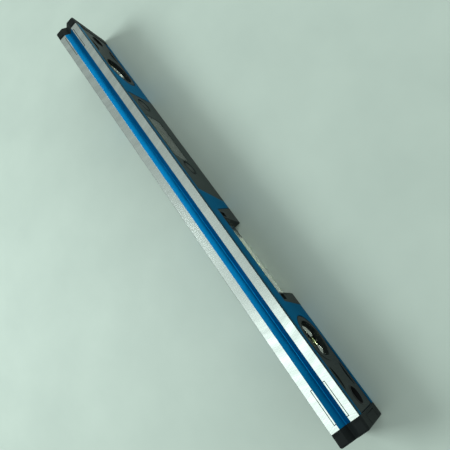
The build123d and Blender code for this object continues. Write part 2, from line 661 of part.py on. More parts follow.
def all_parts():
    parts = {"beam_extrusion": make_beam()}
    right_hand = {"end_cap": make_cap(), "magnet_keeper": make_keeper(), "magnets": make_magnets(),
                  "hang_hole_sleeve": make_sleeve(), "plumb_vial_block": make_plumb_block(),
                  "plumb_vial_plug": make_plumb_plug(), "plumb_bubble": make_plumb_bubble()}
    plate = make_window_plate()
    for end_name, end in ENDS.items():
        for name, shape in right_hand.items():
            parts[f"{name}_{end_name}"] = placed(shape, end)
        for side_name, side in SIDES.items():
            parts[f"window_plate_{end_name}_{side_name}"] = placed(plate, end, side)
    parts["level_vial_block"] = make_level_block()
    parts["level_vial_plug"] = make_level_plug()
    parts["level_bubble"] = make_level_bubble()
    parts["vial_holder_left"] = make_left_holder()
    parts["vial_holder_right"] = make_right_holder()
    parts["display_housing_front"] = make_front_housing()
    parts["display_housing_rear"] = make_rear_housing()
    parts["housing_screws"] = make_screws()
    parts["display_lens"] = make_lens()
    parts["lcd_panel"] = make_display()
    parts["light_guide"] = make_light_guide()
    parts["circuit_board"] = make_board()
    parts["board_chips"] = make_chips()
    parts["tilt_sensor"] = make_tilt_sensor()
    parts["buzzer"] = make_buzzer()
    for name, x in BUTTON_XS.items():
        parts[name] = make_button(x)
        parts[name.replace("button", "switch")] = make_switch(x)
    parts["battery_door"] = make_door()
    parts["battery_lower"] = cell(CELL_ZS[0], 1)
    parts["battery_upper"] = cell(CELL_ZS[1], -1)
    parts["battery_contacts"] = make_contacts()
    parts["battery_springs"] = make_springs()
    return parts


os.makedirs("parts", exist_ok=True)
for node, part in all_parts().items():
    export_step(part, f"parts/{node}.step")
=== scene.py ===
import math

import bpy
from mathutils import Matrix, Vector


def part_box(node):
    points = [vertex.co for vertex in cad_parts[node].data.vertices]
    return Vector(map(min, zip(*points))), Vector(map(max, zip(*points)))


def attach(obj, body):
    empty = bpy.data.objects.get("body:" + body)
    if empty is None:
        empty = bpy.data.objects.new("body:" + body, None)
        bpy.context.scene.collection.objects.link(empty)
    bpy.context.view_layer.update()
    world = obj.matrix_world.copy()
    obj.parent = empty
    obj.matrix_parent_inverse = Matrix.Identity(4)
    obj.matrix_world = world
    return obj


# A digital box-beam spirit level, lying with its milled working face up.
# X runs along the beam, Y across it (the display side is +Y), Z up, in metres.

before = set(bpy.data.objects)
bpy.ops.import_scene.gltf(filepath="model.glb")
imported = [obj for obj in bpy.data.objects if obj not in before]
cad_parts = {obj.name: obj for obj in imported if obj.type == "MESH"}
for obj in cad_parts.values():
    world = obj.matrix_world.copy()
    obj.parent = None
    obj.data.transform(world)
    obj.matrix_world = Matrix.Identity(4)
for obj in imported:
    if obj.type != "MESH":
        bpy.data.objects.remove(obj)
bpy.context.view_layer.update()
MM = 0.001

# ---- places read from the frame ----
FACE_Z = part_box("beam_extrusion")[1].z
ENDS = {"left": -1, "right": 1}
SIDES = {"front": 1, "rear": -1}
BUTTONS = ("power_button", "hold_button")


def middle(node):
    """The middle of a node's box."""
    low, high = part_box(node)
    return (low + high) / 2


# ---- modelling helpers ----
def start_clean():
    """Nothing selected, so that an operator acts on the new shape only."""
    bpy.ops.object.select_all(action="DESELECT")


def begin_edit(piece):
    start_clean()
    piece.select_set(True)
    bpy.context.view_layer.objects.active = piece
    bpy.ops.object.mode_set(mode="EDIT")


def end_edit():
    bpy.ops.object.mode_set(mode="OBJECT")


def pick(piece, kind, test):
    """Selects the faces, edges or points of a piece whose element passes test."""
    bpy.ops.mesh.select_mode(type=kind)
    bpy.ops.mesh.select_all(action="DESELECT")
    bpy.ops.object.mode_set(mode="OBJECT")
    mesh = piece.data
    group = {"FACE": mesh.polygons, "EDGE": mesh.edges, "VERT": mesh.vertices}[kind]
    for element in group:
        element.select = bool(test(element))
    bpy.ops.object.mode_set(mode="EDIT")


def settle(piece, name, body="root"):
    """Puts a finished piece's place into its mesh, names it, and gives it its body."""
    start_clean()
    piece.select_set(True)
    bpy.context.view_layer.objects.active = piece
    bpy.ops.object.transform_apply(location=True, rotation=True, scale=True)
    piece.name = name
    piece.data.name = name
    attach(piece, body)
    return piece


def apply_modifiers(piece):
    start_clean()
    piece.select_set(True)
    bpy.context.view_layer.objects.active = piece
    for modifier in list(piece.modifiers):
        bpy.ops.object.modifier_apply(modifier=modifier.name)


def smooth(piece, degrees=35):
    start_clean()
    piece.select_set(True)
    bpy.context.view_layer.objects.active = piece
    bpy.ops.object.shade_smooth_by_angle(angle=math.radians(degrees))


def add_bar(radius, length, place, axis, sides=48):
    """A round bar along an axis, about its middle."""
    turn = {"X": (0, math.pi / 2, 0), "Y": (math.pi / 2, 0, 0), "Z": (0, 0, 0)}[axis]
    start_clean()
    bpy.ops.mesh.primitive_cylinder_add(vertices=sides, radius=radius, depth=length,
                                        location=place, rotation=turn)
    return bpy.context.object


def add_block(low, high):
    start_clean()
    bpy.ops.mesh.primitive_cube_add(size=1, location=(Vector(low) + Vector(high)) / 2,
                                    scale=Vector(high) - Vector(low))
    bpy.ops.object.transform_apply(location=False, rotation=False, scale=True)
    return bpy.context.object


def join(pieces):
    start_clean()
    for piece in pieces:
        piece.select_set(True)
    bpy.context.view_layer.objects.active = pieces[0]
    bpy.ops.object.join()
    return bpy.context.object


# ---- shader groups ----
def new_group(name, inputs, outputs):
    """A shader node group with value sockets; inputs gives each one's name and first value."""
    group = bpy.data.node_groups.new(name, "ShaderNodeTree")
    group.interface.new_socket("Vector", in_out="INPUT", socket_type="NodeSocketVector")
    for label, value in inputs.items():
        socket = group.interface.new_socket(label, in_out="INPUT", socket_type="NodeSocketFloat")
        socket.default_value = value
    for label in outputs:
        group.interface.new_socket(label, in_out="OUTPUT", socket_type="NodeSocketFloat")
    return group, group.nodes.new("NodeGroupInput"), group.nodes.new("NodeGroupOutput")


def wire(tree, kind, links=None, **settings):
    """A node in tree with settings; links maps its input names or numbers to sockets or values."""
    node = tree.nodes.new(kind)
    for key, value in settings.items():
        setattr(node, key, value)
    for key, value in (links or {}).items():
        if isinstance(value, bpy.types.NodeSocket):
            tree.links.new(value, node.inputs[key])
        else:
            node.inputs[key].default_value = value
    return node


def maths(tree, operation, a, b=0.0, clamp=False):
    return wire(tree, "ShaderNodeMath", {0: a, 1: b}, operation=operation, use_clamp=clamp).outputs[0]


def spread(tree, value, low, high, to_low=0.0, to_high=1.0):
    """A value taken from one range to another, held inside it."""
    return wire(tree, "ShaderNodeMapRange",
                {0: value, 1: low, 2: high, 3: to_low, 4: to_high}, clamp=True).outputs[0]


def noise(tree, vector, scale, detail=3.0, rough=0.5):
    return wire(tree, "ShaderNodeTexNoise", {"Vector": vector, "Scale": scale, "Detail": detail,
                                             "Roughness": rough}).outputs["Fac"]


def make_grain():
    """Fine moulded or sprayed grain: Tone is a slow colour drift, Height the fine texture."""
    group, given, made = new_group("fine_grain", {"Grain": 1500.0, "Drift": 45.0}, ("Tone", "Height"))
    fine = noise(group, given.outputs["Vector"], given.outputs["Grain"], 4.0, 0.6)
    slow = noise(group, given.outputs["Vector"], given.outputs["Drift"], 3.0, 0.55)
    group.links.new(spread(group, slow, 0.3, 0.7), made.inputs["Tone"])
    group.links.new(fine, made.inputs["Height"])
    return group


def make_scuffs():
    """Handling marks: long thin scratches and rubbed patches, as one mask."""
    group, given, made = new_group("handling_scuffs", {"Density": 0.5, "Size": 60.0}, ("Mask",))
    stretched = wire(group, "ShaderNodeMapping", {"Vector": given.outputs["Vector"],
                                                  "Rotation": (0.2, 0.35, 0.6),
                                                  "Scale": (1.0, 14.0, 9.0)}).outputs[0]
    thin = noise(group, stretched, given.outputs["Size"], 2.0, 0.4)
    patch = noise(group, given.outputs["Vector"], 38.0, 2.0, 0.5)
    limit = maths(group, "SUBTRACT", 0.9, maths(group, "MULTIPLY", given.outputs["Density"], 0.25))
    lines = spread(group, maths(group, "SUBTRACT", thin, limit), -0.02, 0.05)
    worn = spread(group, patch, 0.45, 0.75)
    group.links.new(maths(group, "MULTIPLY", lines, worn, clamp=True), made.inputs["Mask"])
    return group


def make_edge_rub():
    """Where edges are rubbed: the turn of a rounded normal away from the true one."""
    group, given, made = new_group("edge_rub", {"Reach": 0.0006, "Break": 220.0}, ("Mask",))
    bevel = wire(group, "ShaderNodeBevel", {"Radius": given.outputs["Reach"]}, samples=4)
    true = wire(group, "ShaderNodeNewGeometry").outputs["Normal"]
    dot = wire(group, "ShaderNodeVectorMath", {0: bevel.outputs[0], 1: true},
               operation="DOT_PRODUCT").outputs["Value"]
    turned = spread(group, dot, 0.97, 0.8)
    ragged = spread(group, noise(group, given.outputs["Vector"], given.outputs["Break"], 3.0), 0.4, 0.65)
    group.links.new(maths(group, "MULTIPLY", turned, ragged, clamp=True), made.inputs["Mask"])
    return group


def make_milling():
    """Marks of a face cutter: thin arcs across the beam, each at its own depth."""
    group, given, made = new_group("face_milling", {"Cutter": 0.045, "Lines": 2200.0},
                                   ("Tone", "Height"))
    parts = wire(group, "ShaderNodeSeparateXYZ", {0: given.outputs["Vector"]}).outputs
    across = maths(group, "MULTIPLY", parts["Y"], parts["Y"])
    radius = maths(group, "MULTIPLY", given.outputs["Cutter"], given.outputs["Cutter"])
    bow = maths(group, "SQRT", maths(group, "SUBTRACT", radius, across))
    forward = maths(group, "SUBTRACT", parts["X"], bow)
    back = maths(group, "ADD", parts["X"], bow)

    def lines(place, count):
        scaled = maths(group, "MULTIPLY", place, count)
        return wire(group, "ShaderNodeTexNoise", {"W": scaled, "Scale": 1.0, "Detail": 2.0},
                    noise_dimensions="1D").outputs["Fac"]

    fine = lines(forward, given.outputs["Lines"])
    second = lines(back, maths(group, "MULTIPLY", given.outputs["Lines"], 0.4))
    slow = lines(forward, 90.0)
    height = maths(group, "ADD", fine, maths(group, "MULTIPLY", second, 0.5))
    tone = maths(group, "ADD", maths(group, "MULTIPLY", height, 0.45), maths(group, "MULTIPLY", slow, 0.5))
    group.links.new(height, made.inputs["Height"])
    group.links.new(spread(group, tone, 0.35, 0.75), made.inputs["Tone"])
    return group


GRAIN = make_grain()
SCUFFS = make_scuffs()
EDGE_RUB = make_edge_rub()
MILLING = make_milling()


# ---- materials ----
def open_material(name):
    """A new material with its shader; gives (material, node tree, shader, object coordinates)."""
    material = bpy.data.materials.new(name)
    material.use_nodes = True
    tree = material.node_tree
    shader = tree.nodes["Principled BSDF"]
    place = wire(tree, "ShaderNodeTexCoord").outputs["Object"]
    return material, tree, shader, place


def placed_group(tree, group, vector, **values):
    """A shared group at vector with its values set; gives its outputs."""
    node = wire(tree, "ShaderNodeGroup", node_tree=group)
    tree.links.new(vector, node.inputs["Vector"])
    for key, value in values.items():
        node.inputs[key].default_value = value
    return node.outputs


def blend(tree, mask, first, second):
    """A colour mixed from first to second by mask."""
    mix = wire(tree, "ShaderNodeMix", data_type="RGBA")
    tree.links.new(mask, mix.inputs["Factor"])
    for socket, colour in ((mix.inputs["A"], first), (mix.inputs["B"], second)):
        if isinstance(colour, bpy.types.NodeSocket):
            tree.links.new(colour, socket)
        else:
            socket.default_value = (*colour, 1.0)
    return mix.outputs["Result"]


def bump(tree, shader, height, depth):
    """Gives the shader a relief of height whose full rise is depth."""
    node = wire(tree, "ShaderNodeBump", {"Height": height, "Distance": depth, "Strength": 1.0})
    tree.links.new(node.outputs[0], shader.inputs["Normal"])


def moulded(name, colour, light, rough, grain=1400.0, depth=0.00006, rub=0.5, scuff=0.5, shine=0.24):
    """A moulded plastic or rubber: colour drifts towards light, and edges and scuffs show it."""
    material, tree, shader, place = open_material(name)
    shader.inputs["Specular IOR Level"].default_value = shine
    fine = placed_group(tree, GRAIN, place, Grain=grain, Drift=40.0)
    edges = placed_group(tree, EDGE_RUB, place)["Mask"]
    marks = placed_group(tree, SCUFFS, place, Density=scuff)["Mask"]
    drift = spread(tree, fine["Tone"], 0.0, 1.0, 0.0, 0.35)
    base = blend(tree, drift, colour, light)
    worn = maths(tree, "MULTIPLY", maths(tree, "MAXIMUM", edges, marks), rub)
    tree.links.new(blend(tree, worn, base, [WORN_GAIN * c for c in light]), shader.inputs["Base Color"])
    tree.links.new(spread(tree, fine["Height"], 0.3, 0.7, rough - 0.07, rough + 0.09),
                   shader.inputs["Roughness"])
    bump(tree, shader, fine["Height"], depth)
    return material


def metal(name, colour, dark, rough, grain=900.0, depth=0.00002):
    """A plated or bare metal with faint streaks and fingered patches."""
    material, tree, shader, place = open_material(name)
    fine = placed_group(tree, GRAIN, place, Grain=grain, Drift=120.0)
    marks = placed_group(tree, SCUFFS, place, Density=0.7)["Mask"]
    shader.inputs["Metallic"].default_value = 1.0
    tree.links.new(blend(tree, fine["Tone"], colour, dark), shader.inputs["Base Color"])
    uneven = maths(tree, "ADD", spread(tree, fine["Tone"], 0.0, 1.0, rough, rough + 0.12),
                   maths(tree, "MULTIPLY", marks, 0.15))
    tree.links.new(uneven, shader.inputs["Roughness"])
    bump(tree, shader, fine["Height"], depth)
    return material


CLEAR_DRIFT = 0.02
CLEAR_RELIEF = 0.000003
WORN_GAIN = 2.2


def clear(name, colour, ior, rough, transmission=1.0):
    """A polished clear material, whose colour and polish drift slightly."""
    material, tree, shader, place = open_material(name)
    fine = placed_group(tree, GRAIN, place, Grain=300.0, Drift=70.0)
    shader.inputs["Transmission Weight"].default_value = transmission
    shader.inputs["IOR"].default_value = ior
    tree.links.new(blend(tree, fine["Tone"], colour, [c * (1 - CLEAR_DRIFT) for c in colour]),
                   shader.inputs["Base Color"])
    tree.links.new(spread(tree, fine["Height"], 0.3, 0.7, rough, rough + 0.03),
                   shader.inputs["Roughness"])
    bump(tree, shader, fine["Tone"], CLEAR_RELIEF)
    return material


PAINT = (0.0, 0.125, 0.305)
PAINT_LIGHT = (0.001, 0.155, 0.37)
PAINT_RUBBED = (0.05, 0.24, 0.38)
ALLOY = (0.74, 0.76, 0.74)
ALLOY_DARK = (0.50, 0.52, 0.51)
PAINT_METAL = 0.92
PAINT_EDGE_TINT = (0.35, 0.72, 0.88, 1.0)
PAINT_ROUGH = (0.34, 0.46)
ALLOY_ROUGH = (0.24, 0.19)
EDGE_WEAR = 0.25
COAT_RELIEF = 0.00004
MILLING_RELIEF = 0.04
MILLED_BAND = 0.00004
# painted shade: near-black colour laid on the beam's upper corners and, fading out downwards, on the top
# band of its sides
CORNER_PAINTED_SHADE = (0.0, 0.003, 0.007)
SHADE_TONE = 0.42
SHADE_DROP = (9.0 * MM, 4.0 * MM)
CORNER_Y = 14.4 * MM
CORNER_DROP = 1.9 * MM


def painted_beam():
    """Satin metallic coat, milled to bare alloy on the working face, with painted shade: upper corners
    near black and unreflective, and the sides' upper band darkened.
    """
    material, tree, shader, place = open_material("blue_paint_milled_face")
    fine = placed_group(tree, GRAIN, place, Grain=1900.0, Drift=26.0)
    edges = placed_group(tree, EDGE_RUB, place, Reach=0.0005)["Mask"]
    marks = placed_group(tree, SCUFFS, place, Density=0.55)["Mask"]
    cuts = placed_group(tree, MILLING, place)
    height = wire(tree, "ShaderNodeSeparateXYZ", {0: place}).outputs["Z"]
    milled = maths(tree, "GREATER_THAN", height, FACE_Z - MILLED_BAND)
    paint = blend(tree, fine["Tone"], PAINT, PAINT_LIGHT)
    # Painted shade: the upper outer corners turn near black and lose their metallic reflection, and the
    # sides darken towards the working face.
    side = wire(tree, "ShaderNodeSeparateXYZ", {0: place}).outputs["Y"]
    outer = maths(tree, "GREATER_THAN", maths(tree, "ABSOLUTE", side), CORNER_Y)
    upper = maths(tree, "GREATER_THAN", height, FACE_Z - CORNER_DROP)
    corner = maths(tree, "MULTIPLY", outer, upper)
    below_face = spread(tree, height, *(FACE_Z - drop for drop in SHADE_DROP), 0.0, SHADE_TONE)
    paint = blend(tree, maths(tree, "MULTIPLY", outer, below_face), paint, CORNER_PAINTED_SHADE)
    worn = maths(tree, "MULTIPLY", maths(tree, "MAXIMUM", edges, marks), EDGE_WEAR)
    paint = blend(tree, worn, paint, PAINT_RUBBED)
    paint = blend(tree, corner, paint, CORNER_PAINTED_SHADE)
    alloy = blend(tree, cuts["Tone"], ALLOY_DARK, ALLOY)
    tree.links.new(blend(tree, milled, paint, alloy), shader.inputs["Base Color"])
    coat_metal = spread(tree, corner, 0.0, 1.0, PAINT_METAL, 0.0)
    tree.links.new(maths(tree, "MAXIMUM", coat_metal, milled), shader.inputs["Metallic"])
    tree.links.new(blend(tree, milled, PAINT_EDGE_TINT[:3], (1.0, 1.0, 1.0)),
                   shader.inputs["Specular Tint"])
    paint_rough = spread(tree, fine["Height"], 0.3, 0.7, *PAINT_ROUGH)
    alloy_rough = spread(tree, cuts["Tone"], 0.0, 1.0, *ALLOY_ROUGH)
    rough = wire(tree, "ShaderNodeMix", data_type="FLOAT")
    tree.links.new(milled, rough.inputs["Factor"])
    tree.links.new(paint_rough, rough.inputs["A"])
    tree.links.new(alloy_rough, rough.inputs["B"])
    tree.links.new(rough.outputs["Result"], shader.inputs["Roughness"])
    relief = wire(tree, "ShaderNodeMix", data_type="FLOAT")
    tree.links.new(milled, relief.inputs["Factor"])
    tree.links.new(fine["Height"], relief.inputs["A"])
    tree.links.new(maths(tree, "MULTIPLY", cuts["Height"], MILLING_RELIEF), relief.inputs["B"])
    bump(tree, shader, relief.outputs["Result"], COAT_RELIEF)
    return material


def painted_groove():
    """The same coat on a piece with no milled face."""
    material, tree, shader, place = open_material("blue_paint_groove")
    fine = placed_group(tree, GRAIN, place, Grain=1900.0, Drift=26.0)
    tree.links.new(blend(tree, fine["Tone"], PAINT, PAINT_LIGHT), shader.inputs["Base Color"])
    tree.links.new(spread(tree, fine["Height"], 0.3, 0.7, *PAINT_ROUGH), shader.inputs["Roughness"])
    shader.inputs["Metallic"].default_value = PAINT_METAL
    shader.inputs["Specular Tint"].default_value = PAINT_EDGE_TINT
    bump(tree, shader, fine["Height"], COAT_RELIEF)
    return material


def display_film():
    """The liquid-crystal panel: a grey film with a fine reflector grain."""
    material, tree, shader, place = open_material("lcd_film")
    fine = placed_group(tree, GRAIN, place, Grain=5200.0, Drift=30.0)
    film = blend(tree, fine["Tone"], (0.036, 0.035, 0.030), (0.048, 0.046, 0.040))
    tree.links.new(blend(tree, spread(tree, fine["Height"], 0.35, 0.65), film, (0.060, 0.057, 0.050)),
                   shader.inputs["Base Color"])
    shader.inputs["Roughness"].default_value = 0.35
    shader.inputs["Specular IOR Level"].default_value = 0.1
    bump(tree, shader, fine["Height"], 0.00001)
    return material


CELL_BAND = (-93.5 * MM, -88.5 * MM)


def cell_jacket():
    """A plain printed battery jacket: dark body, one pale band near an end."""
    material, tree, shader, place = open_material("cell_jacket")
    fine = placed_group(tree, GRAIN, place, Grain=900.0, Drift=60.0)
    run = wire(tree, "ShaderNodeSeparateXYZ", {0: place}).outputs["X"]
    band = maths(tree, "MULTIPLY", maths(tree, "GREATER_THAN", run, CELL_BAND[0]),
                 maths(tree, "LESS_THAN", run, CELL_BAND[1]))
    body = blend(tree, fine["Tone"], (0.03, 0.03, 0.034), (0.05, 0.05, 0.055))
    tree.links.new(blend(tree, band, body, (0.62, 0.46, 0.20)), shader.inputs["Base Color"])
    tree.links.new(spread(tree, fine["Height"], 0.3, 0.7, 0.22, 0.34), shader.inputs["Roughness"])
    bump(tree, shader, fine["Height"], 0.00001)
    return material


def board_laminate():
    """Green solder mask with copper runs showing faintly through it."""
    material, tree, shader, place = open_material("board_laminate")
    fine = placed_group(tree, GRAIN, place, Grain=1500.0, Drift=80.0)
    runs = wire(tree, "ShaderNodeTexBrick", {"Vector": place, "Scale": 260.0,
                                             "Color1": (0, 0, 0, 1), "Color2": (0, 0, 0, 1),
                                             "Mortar": (1, 1, 1, 1), "Mortar Size": 0.03})
    mask = blend(tree, fine["Tone"], (0.008, 0.10, 0.035), (0.012, 0.14, 0.05))
    tree.links.new(blend(tree, spread(tree, runs.outputs["Fac"], 0.0, 1.0, 0.0, 0.5), mask,
                         (0.03, 0.24, 0.09)), shader.inputs["Base Color"])
    tree.links.new(spread(tree, fine["Height"], 0.3, 0.7, 0.28, 0.4), shader.inputs["Roughness"])
    bump(tree, shader, runs.outputs["Fac"], 0.00003)
    return material


# Painted shade: the buttons' sides below BUTTON_SKIRT_Y turn black, standing in for the shadow in the gap
# round each button.
SKIRT_PAINTED_SHADE = (0.005, 0.005, 0.005)
BUTTON_SKIRT_Y = 15.8 * MM


def darken_below(material, axis, limit):
    """Turns a moulded material black where the object's own axis lies below limit."""
    tree = material.node_tree
    shader = tree.nodes["Principled BSDF"]
    place = wire(tree, "ShaderNodeTexCoord").outputs["Object"]
    run = wire(tree, "ShaderNodeSeparateXYZ", {0: place}).outputs[axis]
    below = maths(tree, "LESS_THAN", run, limit)
    top = shader.inputs["Base Color"].links[0].from_socket
    tree.links.new(blend(tree, below, top, SKIRT_PAINTED_SHADE), shader.inputs["Base Color"])
    return material


BEAM_PAINT = painted_beam()
GROOVE_PAINT = painted_groove()
CAP_RUBBER = moulded("cap_rubber", (0.0035, 0.0055, 0.006), (0.007, 0.009, 0.0095), 0.62,
                     grain=1700.0, shine=0.2)
PLATE_PLASTIC = moulded("plate_plastic", (0.011, 0.015, 0.0145), (0.018, 0.022, 0.021), 0.48)
HOUSING_PLASTIC = moulded("housing_plastic", (0.013, 0.020, 0.019), (0.021, 0.028, 0.0265), 0.48)
BLACK_PLASTIC = moulded("black_plastic", (0.010, 0.010, 0.011), (0.016, 0.016, 0.017), 0.42)
BUTTON_TOP_RUBBER = moulded("button_rubber", (0.024, 0.029, 0.027), (0.034, 0.039, 0.036), 0.55,
                            grain=2600.0, depth=0.00003)
# painted shade: the button rubber is turned black below its top, for the shadowed gap round the button
BUTTON_RUBBER = darken_below(BUTTON_TOP_RUBBER, "Y", BUTTON_SKIRT_Y)
# painted shade: near-black ring material for the floor of each button's dish
COLLAR_PAINTED_SHADE = moulded("collar_painted_shade", (0.0035, 0.0035, 0.0035), (0.006, 0.006, 0.006), 0.6,
                        rub=0.1, shine=0.15)
SEAL_RESIN = moulded("seal_resin", (0.006, 0.007, 0.007), (0.010, 0.011, 0.011), 0.35, rub=0.1)
MARK_INK = moulded("mark_ink", (0.006, 0.006, 0.006), (0.010, 0.010, 0.010), 0.4, rub=0.0)
BUTTON_MARK = moulded("button_mark", (0.085, 0.09, 0.085), (0.11, 0.115, 0.11), 0.5, rub=0.2)
DIFFUSER = moulded("diffuser_plastic", (0.70, 0.71, 0.68), (0.80, 0.81, 0.79), 0.35, rub=0.0)
NICKEL = metal("magnet_nickel", (0.66, 0.65, 0.62), (0.50, 0.49, 0.46), 0.18)
STEEL = metal("plated_steel", (0.60, 0.60, 0.58), (0.42, 0.42, 0.41), 0.26)
ACRYLIC = clear("clear_acrylic", (0.87, 0.885, 0.80), 1.49, 0.0)
BUBBLE = clear("vial_bubble", (0.96, 1.0, 0.86), 1.36, 0.0, transmission=0.9)
LIQUID = clear("vial_liquid", (0.90, 0.97, 0.58), 1.49, 0.0)
LENS_ACRYLIC = clear("lens_acrylic", (0.72, 0.70, 0.64), 1.3, 0.06)
LCD_FILM = display_film()
JACKET = cell_jacket()
LAMINATE = board_laminate()

FINISHES = {
    BEAM_PAINT: ("beam_extrusion", "magnet_keeper_left", "magnet_keeper_right"),
    CAP_RUBBER: ("end_cap_left", "end_cap_right"),
    PLATE_PLASTIC: tuple(f"window_plate_{end}_{side}" for end in ENDS for side in SIDES)
    + ("vial_holder_left", "vial_holder_right"),
    HOUSING_PLASTIC: ("display_housing_front", "display_housing_rear", "battery_door"),
    BLACK_PLASTIC: ("hang_hole_sleeve_left", "hang_hole_sleeve_right", "buzzer", "board_chips",
                    "power_switch", "hold_switch"),
    BUTTON_RUBBER: BUTTONS,
    DIFFUSER: ("light_guide",),
    NICKEL: ("magnets_left", "magnets_right"),
    STEEL: ("housing_screws", "battery_contacts", "battery_springs", "tilt_sensor"),
    ACRYLIC: ("plumb_vial_block_left", "plumb_vial_block_right", "level_vial_block",
              "plumb_vial_plug_left", "plumb_vial_plug_right", "level_vial_plug"),
    BUBBLE: ("level_bubble", "plumb_bubble_left", "plumb_bubble_right"),
    LENS_ACRYLIC: ("display_lens",),
    LCD_FILM: ("lcd_panel",),
    JACKET: ("battery_lower", "battery_upper"),
    LAMINATE: ("circuit_board",),
}


def dress(piece, material):
    piece.data.materials.clear()
    piece.data.materials.append(material)


for material, nodes in FINISHES.items():
    for node in nodes:
        dress(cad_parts[node], material)
        smooth(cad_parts[node], 30)


# ---- vial liquid and marking rings ----
VIAL_OVERLAP = 0.02 * MM
LEVEL_AXIS_Z = middle("level_bubble").z
LEVEL_BORE_R = 6.5 * MM
PLUMB_BORE_R = 5.5 * MM
PLUMB_BORE = (16.6 * MM, 52.4 * MM)
RING_THICK = 0.25 * MM
RING_WIDTH = 0.4 * MM
RING_PLAY = 0.02 * MM
LEVEL_BORE_START = 13.1 * MM
LEVEL_PLUG_GAP = 0.1 * MM
LEVEL_RING_STEPS = (-12.6 * MM, -9.8 * MM, 9.8 * MM, 12.6 * MM)
PLUMB_RING_STEPS = (-6.6 * MM, 6.6 * MM)
LIQUID_EDGE = 0.4 * MM


def make_liquid(radius, length, place, axis, name):
    """The spirit in a vial, with softly rounded ends."""
    liquid = add_bar(radius, length, place, axis)
    begin_edit(liquid)
    pick(liquid, "FACE", lambda face: len(face.vertices) > 4)
    bpy.ops.mesh.bevel(offset=LIQUID_EDGE, segments=2, affect="EDGES")
    end_edit()
    smooth(liquid)
    dress(liquid, LIQUID)
    return settle(liquid, name)


def make_ring(radius, place, axis):
    """One marking ring: a thin band that lies against the bore."""
    ring = add_bar(radius, RING_WIDTH, place, axis)
    begin_edit(ring)
    pick(ring, "FACE", lambda face: len(face.vertices) > 4)
    bpy.ops.mesh.inset(thickness=RING_THICK)
    bpy.ops.mesh.bridge_edge_loops()
    end_edit()
    return ring


def make_rings(radius, places, axis, name):
    rings = join([make_ring(radius, place, axis) for place in places])
    smooth(rings)
    dress(rings, MARK_INK)
    return settle(rings, name)


level_x0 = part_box("level_vial_block")[0].x + LEVEL_BORE_START
level_x1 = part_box("level_vial_plug")[0].x - LEVEL_PLUG_GAP
LEVEL_MIDDLE = Vector(((level_x0 + level_x1) / 2, 0, LEVEL_AXIS_Z))
make_liquid(LEVEL_BORE_R + VIAL_OVERLAP, level_x1 - level_x0, LEVEL_MIDDLE, "X", "level_vial_liquid")
make_rings(LEVEL_BORE_R - RING_PLAY, [LEVEL_MIDDLE + Vector((step, 0, 0)) for step in LEVEL_RING_STEPS],
           "X", "level_vial_rings")
for end in ENDS:
    axis_x = middle(f"plumb_vial_block_{end}").x
    bore_middle = Vector((axis_x, 0, sum(PLUMB_BORE) / 2))
    make_liquid(PLUMB_BORE_R + VIAL_OVERLAP, PLUMB_BORE[1] - PLUMB_BORE[0], bore_middle, "Z",
                f"plumb_vial_liquid_{end}")
    make_rings(PLUMB_BORE_R - RING_PLAY, [bore_middle + Vector((0, 0, step)) for step in PLUMB_RING_STEPS],
               "Z", f"plumb_vial_rings_{end}")


# ---- keeper seals: resin round each keeper, and painted filler where the groove crosses its ends ----
KEEPER_GAP = 0.7 * MM
KEEPER_HALF = 7.85 * MM
KEEPER_RUN = (251.4 * MM, 285.6 * MM)
GROOVE_HALF = 6.35 * MM
GROOVE_FLAT = 0.3 * MM
GROOVE_DEPTH = 5.2 * MM
SEAL_TOP = FACE_Z - 0.12 * MM
SEAL_FOOT = FACE_Z - 6.5 * MM
SEAL_PLAY = 0.02 * MM
FILLER_TOP = FACE_Z - 0.2 * MM
FILLER_DROP = 0.03 * MM


def cut_from(piece, cutter):
    """Takes the cutter's shape out of a piece and deletes the cutter."""
    modifier = piece.modifiers.new("cut", "BOOLEAN")
    modifier.object = cutter
    modifier.operation = "DIFFERENCE"
    modifier.solver = "EXACT"
    apply_modifiers(piece)
    bpy.data.objects.remove(cutter)


def groove_cutter(drop, x0, x1):
    """A bar with the V-groove's section, lowered by drop: a block whose lower edges are drawn in."""
    bar = add_block((x0, -GROOVE_HALF, FACE_Z - GROOVE_DEPTH), (x1, GROOVE_HALF, FACE_Z))
    begin_edit(bar)
    pick(bar, "VERT", lambda point: point.co.z < 0)
    bpy.ops.transform.resize(value=(1, GROOVE_FLAT / GROOVE_HALF, 1))
    pick(bar, "FACE", lambda face: face.normal.z > 0.9)
    bpy.ops.mesh.extrude_region_move(TRANSFORM_OT_translate={"value": (0, 0, 2 * MM)})
    bpy.ops.mesh.select_all(action="SELECT")
    bpy.ops.transform.translate(value=(0, 0, -drop))
    end_edit()
    return bar


def make_seal(end):
    """The black resin line between a keeper block and its slot."""
    half = KEEPER_HALF + KEEPER_GAP - SEAL_PLAY
    x0, x1 = keeper_run(end)
    seal = add_block((x0 - KEEPER_GAP + SEAL_PLAY, -half, SEAL_FOOT),
                     (x1 + KEEPER_GAP - SEAL_PLAY, half, SEAL_TOP))
    cut_from(seal, add_block((x0 - SEAL_PLAY, -KEEPER_HALF - SEAL_PLAY, SEAL_FOOT - MM),
                             (x1 + SEAL_PLAY, KEEPER_HALF + SEAL_PLAY, FACE_Z)))
    cut_from(seal, add_block((x0 - MM, -GROOVE_HALF, SEAL_FOOT - MM), (x1 + MM, GROOVE_HALF, FACE_Z)))
    dress(seal, SEAL_RESIN)
    return settle(seal, f"keeper_seal_{end}")


